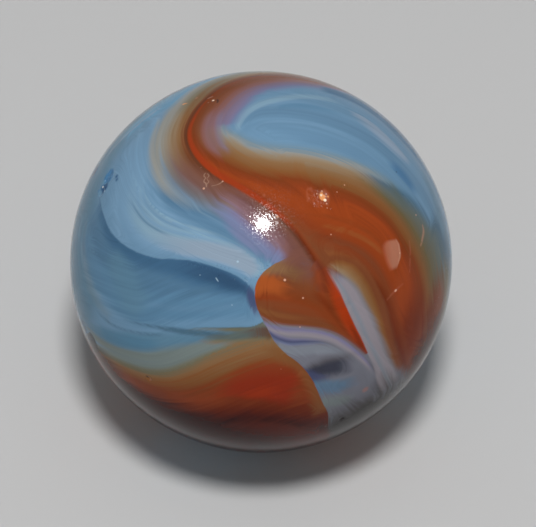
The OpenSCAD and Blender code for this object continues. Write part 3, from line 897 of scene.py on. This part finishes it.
def marks():
    """Small scratches, bruised glass and pale specks, and painted glints and sheen, in the order
    in which they lie.
    """
    return [
        Marks("gouge_floor", "gouge", 0.85, 0.16, [
            [(100, 193, 0.1), (102, 190, 0.22), (105.5, 186, 0.2), (108, 181, 0.05)],
            [(95.5, 173, 0.1), (96, 168, 0.3), (98, 164, 0.1)]],
            [(116.5, 176.5, 0.16), (116.8, 179.5, 0.14)]),
        Marks("gouge_rifts", "rift", 0.75, 0.12, [
            [(105.5, 184, 0.15), (108, 178, 0.35), (110.5, 172, 0.25), (112, 168, 0.05)]],
            [(98.5, 191, 0.1)]),
        Marks("nicks", "charcoal", 0.8, 0.08, [
            [(341.3, 419.3, 0.02), (343.5, 417, 0.05), (346, 418, 0.03)],
            [(89, 338, 0.2), (94, 343.5, 0.5), (98.5, 349, 0.1)],
            [(216.8, 99, 0.03), (217.8, 101.5, 0.04), (216.5, 103.5, 0.02)]], [
            (147, 377, 0.1), (327.6, 203, 0.05), (396.5, 172, 0.05)]),
        # Pink bruised glass round the flake and a thin arc at the right, with painted pink sheen:
        # the tails of a glint, a soft glint lower down and a glow beside the highlight.
        Marks("bruises_and_sheen", "bruise", 0.34, 0.14, [
            [(321.5, 189, 0.06), (325.5, 194, 0.14), (327, 200, 0.1), (327.5, 207, 0.02)],
            [(309.5, 187, 0.04), (307, 191, 0.01), (307.8, 196, 0.04), (308, 203, 0.03)],
            [(409, 239, 0.01), (410.3, 250, 0.03), (410, 262, 0.03), (409.5, 274, 0.01)],
            [(386, 301, 0.01), (392, 294, 0.03), (397.5, 288.5, 0.03), (404, 283, 0.01)]], [
            (365.3, 389.6, 0.3), (310.5, 189, 0.14), (268, 204, 0.12), (264, 195, 0.1)]),
        Marks("scrapes", "veil", 0.5, 0.1, [
            [(422, 223.5, 0.02), (423.5, 230, 0.06), (422.5, 238, 0.06), (420.3, 247, 0.03)],
            [(149, 381, 0.02), (150.5, 379, 0.03), (149, 377.5, 0.02)]],
            [(196.5, 98, 0.1), (187, 103.3, 0.08)]),
        Marks("creases", "crease", 0.55, 0.05, [
            [(206.3, 172.5, 0.01), (203.9, 175.3, 0.02), (205.4, 178.2, 0.02),
             (203.8, 181, 0.02), (206.2, 184, 0.03), (206.4, 187.6, 0.02)],
            [(206.8, 173.2, 0.01), (208.9, 175.8, 0.02), (207, 178.6, 0.01),
             (208.6, 181.6, 0.02), (205.8, 185.2, 0.01)],
            [(211, 186, 0.01), (216, 185, 0.01), (220, 183.4, 0.02), (223.6, 180.4, 0.03)],
            [(207, 99, 0.02), (210, 97.6, 0.03), (213.5, 96.3, 0.02)]],
            [(208.3, 102.6, 0.05), (201, 167.5, 0.03)]),
        # Painted orange glints: the fire in the chipped flake and a small glint at the upper
        # left.
        Marks("orange_glints", "orange_glint", 0.9, 0.07, [
            [(322.3, 191.5, 0.02), (321.8, 195, 0.1), (323, 197.8, 0.12), (325, 200.6, 0.05)],
            [(182.2, 105.3, 0.04), (184, 104, 0.05), (187.2, 103.4, 0.01)]],
            [(324.6, 195.5, 0.08), (328, 196.6, 0.07)]),
        Marks("glints", "glint", 0.8, 0.04, [
            [(394.3, 291.8, 0.02), (395.6, 290.6, 0.05), (397, 289.4, 0.02)],
            [(221.6, 182.3, 0.01), (223.4, 180.7, 0.02)]], [
            (203.8, 188.5, 0.09), (322, 191.2, 0.06), (317.3, 193.4, 0.06),
            (326.6, 203.6, 0.06), (327.2, 208, 0.04), (337, 192, 0.04), (344.5, 185, 0.05),
            (284.8, 280, 0.1), (303, 298, 0.07), (300, 327, 0.05), (281, 369, 0.02),
            (416, 215, 0.06), (399.8, 253, 0.05), (277.4, 216.6, 0.09), (331, 234.5, 0.05)]),
        # Pale blue specks on the blue glass, with painted glints in the gouge and at the left
        # rim.
        Marks("dust_and_glints", "dust_and_glints", 0.75, 0.05, [
            [(215.4, 277.2, 0.01), (216.8, 279.2, 0.02), (218.6, 282, 0.01)]], [
            (237.7, 261.6, 0.09), (200, 275, 0.03), (99.6, 162.6, 0.09), (102.5, 186.8, 0.1),
            (104.5, 191, 0.1), (104.6, 180.5, 0.05), (232, 305, 0.04)]),
        # Painted highlights: white points on the chip, in the gouge and at the upper left.
        Marks("white_glints", "white_glint", 1.0, 0.04, [], [
            (321.4, 194.8, 0.1), (325.1, 200, 0.12), (213.2, 100.4, 0.1),
            (102.5, 186.8, 0.06)]),
    ]


def cover_of(layer, skin):
    """How surely each direction in skin is under one of the layer's lines or spots."""
    cover = np.full(len(skin), -COVER_BOUND)
    for line in layer.lines:
        path = [(x, y, half, half) for x, y, half in line]
        scratch = ribbon(layer.name, layer.colour, path, [layer.soft] * 2, [layer.soft] * 2)
        cover = np.maximum(cover, lay(scratch, skin, 0)[0])
    for x, y, width in layer.spots:
        away = np.arccos(np.clip(skin @ on_ball(x, y), -1, 1)) * SKIN_MM
        cover = np.maximum(cover, (width / 2 - away) / layer.soft)
    return cover


# --- Knock marks ---------------------------------------------------------------------

Bite = namedtuple("Bite", "width depth place")

# The same bites as in the CAD. A size is the width across the rim and the depth in mm, and
# a place a bearing from the front and a latitude in degrees. Headings run clockwise from
# uphill, and distances along the skin in mm.
FLAKE_SIZE = (0.85, 0.02)
FLAKE_PLACE = (40, 64)
CHIP_SIZE = (0.4, 0.05)
CHIP_HEADING = 100
CHIP_OFFSET = 0.26
GOUGE_SIZE = (0.5, 0.05)
GOUGE_PLACE = (-92, 37)
GOUGE_HEADING = -50
GOUGE_STEPS = (-0.4, 0, 0.4)
PIT_SIZE = (0.3, 0.04)
LEFT_PIT_PLACE = (-35, 3)
RIGHT_PIT_PLACE = (25, -11)


def place_at(bearing, latitude, heading=0, distance=0):
    """Direction to a place on the ball, moved along the skin by a heading and millimetres."""
    place = Vector((0, 0, 1))
    place.rotate(Euler((0, -distance / SKIN_MM, 0)))
    place.rotate(Euler((0, 0, -math.radians(heading))))
    place.rotate(Euler((0, math.radians(90 - latitude), math.radians(bearing - 90))))
    return np.array(place)


def knock_bites():
    """The bites that knocks took out of the ball."""
    flake = Bite(*FLAKE_SIZE, place_at(*FLAKE_PLACE))
    chip = Bite(*CHIP_SIZE, place_at(*FLAKE_PLACE, CHIP_HEADING, CHIP_OFFSET))
    gouge = [Bite(*GOUGE_SIZE, place_at(*GOUGE_PLACE, GOUGE_HEADING, step))
             for step in GOUGE_STEPS]
    left_pit = Bite(*PIT_SIZE, place_at(*LEFT_PIT_PLACE))
    right_pit = Bite(*PIT_SIZE, place_at(*RIGHT_PIT_PLACE))
    return [flake, chip, *gouge, left_pit, right_pit]


def bitten_radius(skin, bites):
    """Distance of the skin from the ball's centre in every direction, in millimetres."""
    radius = np.full(len(skin), SKIN_MM)
    for bite in bites:
        dish = ((bite.width / 2) ** 2 + bite.depth ** 2) / (2 * bite.depth)
        rim = math.sqrt(SKIN_MM ** 2 - (bite.width / 2) ** 2)
        centre = rim - bite.depth + dish
        lean = skin @ bite.place * centre
        chord = dish ** 2 - centre ** 2 + lean ** 2
        reach = lean - np.sqrt(np.maximum(chord, 0))
        struck = (lean > 0) & (chord > 0)
        radius = np.where(struck, np.minimum(radius, reach), radius)
    return radius


# --- The ball's mesh -----------------------------------------------------------------


def crisp_edges():
    """Places along the seam and along every sharp edge of a ribbon."""
    edges = list(Course(SEAM).line)
    for band in all_ribbons():
        course = Course(band.path)
        for way, soft, reach in zip((-1, 1), band.soft, course.reach.T):
            if soft < CRISP_MM:
                turn = (reach / SKIN_MM)[:, None]
                edges += list(course.line * np.cos(turn) + course.rightward * np.sin(turn) * way)
    return edges


def fine_places():
    """Places that need a finer mesh, each with how far round it, in millimetres."""
    places = [(place, CRISP_REACH) for place in crisp_edges()]
    places += [(bite.place, bite.width * BITE_REACH) for bite in knock_bites()]
    places += [(place, MARK_REACH) for place in Course(moon().path).line]
    for layer in marks():
        places += [(on_ball(x, y), MARK_REACH) for line in layer.lines + [layer.spots]
                   for x, y, _ in line]
    return places


def refine(ball, places):
    """Halve the edges of the ball near the places, and put them back on the skin."""
    tree = KDTree(len(places))
    for i, (place, _) in enumerate(places):
        tree.insert(place * BALL_R, i)
    tree.balance()
    near = []
    for edge in ball.edges:
        middle = (edge.verts[0].co + edge.verts[1].co) / 2
        _, i, away = tree.find(middle)
        if away / MM < places[i][1]:
            near.append(edge)
    bmesh.ops.subdivide_edges(ball, edges=near, cuts=1, use_grid_fill=True)
    for vert in ball.verts:
        vert.co = vert.co.normalized() * BALL_R


def marble_mesh():
    """The ball with its knock marks, finely divided where there is something small."""
    ball = bmesh.new()
    bmesh.ops.create_icosphere(ball, subdivisions=BALL_SUBDIVISIONS, radius=BALL_R)
    places = fine_places()
    for _ in range(FINE_HALVINGS):
        refine(ball, places)
    skin = np.array([vert.co.normalized() for vert in ball.verts])
    radius = bitten_radius(skin, knock_bites())
    for vert, ray, reach in zip(ball.verts, skin, radius):
        vert.co = Vector(ray) * reach * MM
    bmesh.ops.triangulate(ball, faces=ball.faces)
    for face in ball.faces:
        face.smooth = True
    mesh = bpy.data.meshes.new("marble_glass")
    ball.to_mesh(mesh)
    ball.free()
    write_glass(mesh, skin.astype(np.float32), radius)
    return mesh


def write_glass(mesh, skin, radius):
    """Write the ribbons, the marks, the streaks' flow and the broken glass on the mesh."""
    _, seam_side, _, _ = Course(SEAM).measure(skin)
    flow = skin @ FLOW_AXIS * SKIN_MM
    for band in all_ribbons() + [moon()]:
        cover, place, across, pull = lay(band, skin, seam_side)
        write_attribute(mesh, band.name + "_cover", cover)
        if not isinstance(band.colour, str):
            write_attribute(mesh, band.name + "_place", (place + 1) / 2)
        flow += (across - flow) * pull
    for layer in marks():
        write_attribute(mesh, layer.name + "_cover", cover_of(layer, skin))
    write_attribute(mesh, "flow", flow)
    write_attribute(mesh, "broken", (SKIN_MM - radius) / BROKEN_MM)


def write_attribute(mesh, name, values):
    """Store one number for each vertex under the name."""
    made = mesh.attributes.new(name, "FLOAT", "POINT")
    made.data.foreach_set("value", np.asarray(values, np.float32))


# --- Glass ---------------------------------------------------------------------------

# Sockets of the Mix node that hold colours
MIX_A, MIX_B, MIX_RESULT = 6, 7, 2


def linear(glass):
    """The scene-linear colour of a glass, from its screen values of 0 to 255."""
    shares = [value / 255 for value in GLASS[glass]]
    return [share / 12.92 if share <= 0.04045 else ((share + 0.055) / 1.055) ** 2.4
            for share in shares] + [1.0]


class Painter:
    """Adds nodes to a material and wires them as they are made."""

    def __init__(self, material):
        material.use_nodes = True
        self.tree = material.node_tree
        self.shader = self.tree.nodes["Principled BSDF"]

    def node(self, kind, inputs, **settings):
        """A new node. Its inputs are plain values, or outputs of other nodes."""
        made = self.tree.nodes.new(kind)
        for name, value in settings.items():
            setattr(made, name, value)
        for name, value in inputs.items():
            self.feed(made.inputs[name], value)
        return made

    def feed(self, socket, value):
        """Link an output to the socket, or set the socket's own value."""
        if isinstance(value, bpy.types.NodeSocket):
            self.tree.links.new(value, socket)
        else:
            socket.default_value = value

    def attribute(self, name):
        return self.node("ShaderNodeAttribute", {}, attribute_name=name).outputs["Fac"]

    def sum(self, value, factor, addend):
        """value × factor + addend"""
        inputs = {0: value, 1: factor, 2: addend}
        return self.node("ShaderNodeMath", inputs, operation="MULTIPLY_ADD").outputs[0]

    def rise(self, value, low, high, to_low, to_high):
        """Smooth step of the value from low to high."""
        inputs = {"Value": value, "From Min": low, "From Max": high, "To Min": to_low,
                  "To Max": to_high}
        made = self.node("ShaderNodeMapRange", inputs, interpolation_type="SMOOTHSTEP")
        return made.outputs["Result"]

    def mix(self, share, under, over, blend="MIX"):
        """Share of the colour over blended onto the colour under it."""
        inputs = {0: share, MIX_A: under, MIX_B: over}
        made = self.node("ShaderNodeMix", inputs, data_type="RGBA", blend_type=blend)
        return made.outputs[MIX_RESULT]

    def ramp(self, value, stops):
        """Colour at the value, from stops of (place from -1 to 1, glass)."""
        made = self.node("ShaderNodeValToRGB", {"Fac": value})
        elements = made.color_ramp.elements
        elements.remove(elements[1])
        elements[0].position = (stops[0][0] + 1) / 2
        elements[0].color = linear(stops[0][1])
        for place, glass in stops[1:]:
            elements.new((place + 1) / 2).color = linear(glass)
        return made.outputs["Color"]

    def streaks(self, place, flow):
        """Noise that runs along the ribbons, mostly between -0.5 and 0.5."""
        inputs = {"Vector": place, "W": self.sum(flow, STREAK_FINENESS / STREAK_SLOWNESS, 0.0),
                  "Scale": STREAK_SLOWNESS, "Detail": STREAK_DETAIL,
                  "Roughness": STREAK_ROUGHNESS}
        made = self.node("ShaderNodeTexNoise", inputs, noise_dimensions="4D")
        return self.sum(made.outputs["Fac"], STREAK_SPREAD, -STREAK_SPREAD / 2)

    def grain(self, place, scale, detail=2.0):
        """Noise with the same look in every direction, from 0 to 1."""
        inputs = {"Vector": place, "Scale": scale, "Detail": detail}
        return self.node("ShaderNodeTexNoise", inputs).outputs["Fac"]


def lay_colour(painter, under, band, streak):
    """The colour with one more ribbon over what lies under it, its edges in streaks."""
    cover = painter.sum(streak, EDGE_STREAKS, painter.attribute(band.name + "_cover"))
    share = painter.rise(cover, -0.5, 0.5, 0.0, band.opacity)
    if isinstance(band.colour, str):
        return painter.mix(share, under, linear(band.colour))
    place = painter.sum(streak, PLACE_STREAKS, painter.attribute(band.name + "_place"))
    return painter.mix(share, under, painter.ramp(place, band.colour))


def glass_colour(painter, streak):
    """Every ribbon laid over the ground, toned in streaks, with the marks on top."""
    colour = linear("ground")
    for band in all_ribbons():
        colour = lay_colour(painter, colour, band, streak)
    tone = painter.sum(streak, TONE_STREAKS, 1.0)
    colour = painter.mix(1.0, colour, tone, "MULTIPLY")
    for layer in [moon()] + marks():
        colour = lay_colour(painter, colour, layer, 0.0)
    return colour


def glass_roughness(painter, place, scuffs, broken):
    """Polish in wide smears, rougher where it is scuffed and where the glass is crushed."""
    smear = painter.grain(place, SMEAR_SCALE)
    polish = painter.rise(smear, *SMEAR_RANGE, *POLISH)
    worn = painter.sum(scuffs, SCUFF_ROUGHNESS, polish)
    return painter.sum(broken, BROKEN_ROUGHNESS, worn)


def glass_relief(painter, place, scuffs, broken):
    """Fine pits in the scuffs, and the uneven faces of crushed glass."""
    pits = painter.node("ShaderNodeBump", {"Strength": 1.0, "Distance": SCUFF_DEPTH,
                                           "Height": scuffs}, invert=True)
    crushed = painter.node("ShaderNodeBump", {
        "Strength": broken, "Distance": CRUSH_DEPTH, "Height": painter.grain(place, CRUSH_SCALE),
        "Normal": pits.outputs["Normal"]})
    return crushed.outputs["Normal"]


def marble_glass():
    """Opaque glossy glass with every ribbon in it, scuffed, and crushed in the bites."""
    material = bpy.data.materials.new("swirl_glass")
    painter = Painter(material)
    sockets = painter.shader.inputs
    place = painter.node("ShaderNodeTexCoord", {}).outputs["Object"]
    streak = painter.streaks(place, painter.attribute("flow"))
    painter.feed(sockets["Base Color"], glass_colour(painter, streak))
    broken = painter.rise(painter.attribute("broken"), 0.0, 1.0, 0.0, 1.0)
    scuffs = painter.rise(painter.grain(place, SCUFF_SCALE, SCUFF_DETAIL), *SCUFF_RANGE, 0.0, 1.0)
    painter.feed(sockets["Roughness"], glass_roughness(painter, place, scuffs, broken))
    painter.feed(sockets["Normal"], glass_relief(painter, place, scuffs, broken))
    painter.feed(sockets["Specular IOR Level"], GLASS_SPECULAR)
    return material


def marble():
    """The glass ball that stands for the CAD node."""
    mesh = marble_mesh()
    mesh.materials.append(marble_glass())
    piece = bpy.data.objects.new("marble_glass", mesh)
    bpy.context.collection.objects.link(piece)
    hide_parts("marble")
    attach(piece, "root")


# --- Studio --------------------------------------------------------------------------


def plain_material(name, shade, roughness):
    """Grey card without gloss."""
    material = bpy.data.materials.new(name)
    material.use_nodes = True
    shader = material.node_tree.nodes["Principled BSDF"]
    shader.inputs["Base Color"].default_value = (shade, shade, shade, 1)
    shader.inputs["Roughness"].default_value = roughness
    shader.inputs["Specular IOR Level"].default_value = 0
    return material


def studio_floor():
    """A pale card that the ball's lowest point touches."""
    sheet = bmesh.new()
    bmesh.ops.create_grid(sheet, x_segments=1, y_segments=1, size=FLOOR_HALF)
    bmesh.ops.translate(sheet, verts=sheet.verts, vec=(0, 0, lowest.z))
    mesh = bpy.data.meshes.new("studio_floor")
    sheet.to_mesh(mesh)
    sheet.free()
    mesh.materials.append(plain_material("floor_card", FLOOR_SHADE, FLOOR_ROUGHNESS))
    floor = bpy.data.objects.new("studio_floor", mesh)
    bpy.context.collection.objects.link(floor)


def studio_camera():
    """The camera, with the ball at its place and size in the image."""
    camera = bpy.data.cameras.new("camera")
    camera.sensor_fit = "HORIZONTAL"
    camera.lens = FOCAL_PX / IMAGE_W * camera.sensor_width
    camera.shift_x = (IMAGE_W / 2 - BALL_X) / IMAGE_W
    camera.shift_y = (BALL_Y - IMAGE_H / 2) / IMAGE_W
    camera.clip_start = CAMERA_CLIP
    stand = bpy.data.objects.new("camera", camera)
    bpy.context.collection.objects.link(stand)
    stand.location = VIEW_BACK * VIEW_RADII * BALL_R
    stand.rotation_euler = (math.pi / 2 - VIEW_ELEVATION, 0, 0)
    bpy.context.scene.camera = stand


def lamp(name, size, level):
    """A round lamp above the front, turned to the ball."""
    light = bpy.data.lights.new(name, "AREA")
    light.shape = "DISK"
    light.size = size
    light.energy = level * math.pi ** 2 * LAMP_AWAY ** 2
    stand = bpy.data.objects.new(name, light)
    bpy.context.collection.objects.link(stand)
    stand.location = (LAMP_SIDE, -LAMP_AWAY * math.cos(LAMP_ELEVATION),
                      LAMP_AWAY * math.sin(LAMP_ELEVATION))
    stand.rotation_euler = (math.pi / 2 - LAMP_ELEVATION, 0, 0)
    return stand


def studio_lamps():
    """A soft lamp that lights the ball, and a smaller one that only shines in the glass."""
    key = lamp("key_lamp", KEY_SIZE, KEY_LEVEL)
    key.visible_glossy = False
    glint = lamp("glint_lamp", GLINT_SIZE, GLINT_LEVEL)
    glint.visible_diffuse = False


def studio_world():
    """Even grey light from all round, and colours shown as they are."""
    world = bpy.data.worlds.new("studio")
    world.use_nodes = True
    background = world.node_tree.nodes["Background"]
    background.inputs["Color"].default_value = (WORLD_SHADE, WORLD_SHADE, WORLD_SHADE, 1)
    bpy.context.scene.world = world
    bpy.context.scene.view_settings.view_transform = "Standard"


# --- Building ------------------------------------------------------------------------

studio_camera()
studio_lamps()
studio_world()
studio_floor()
marble()
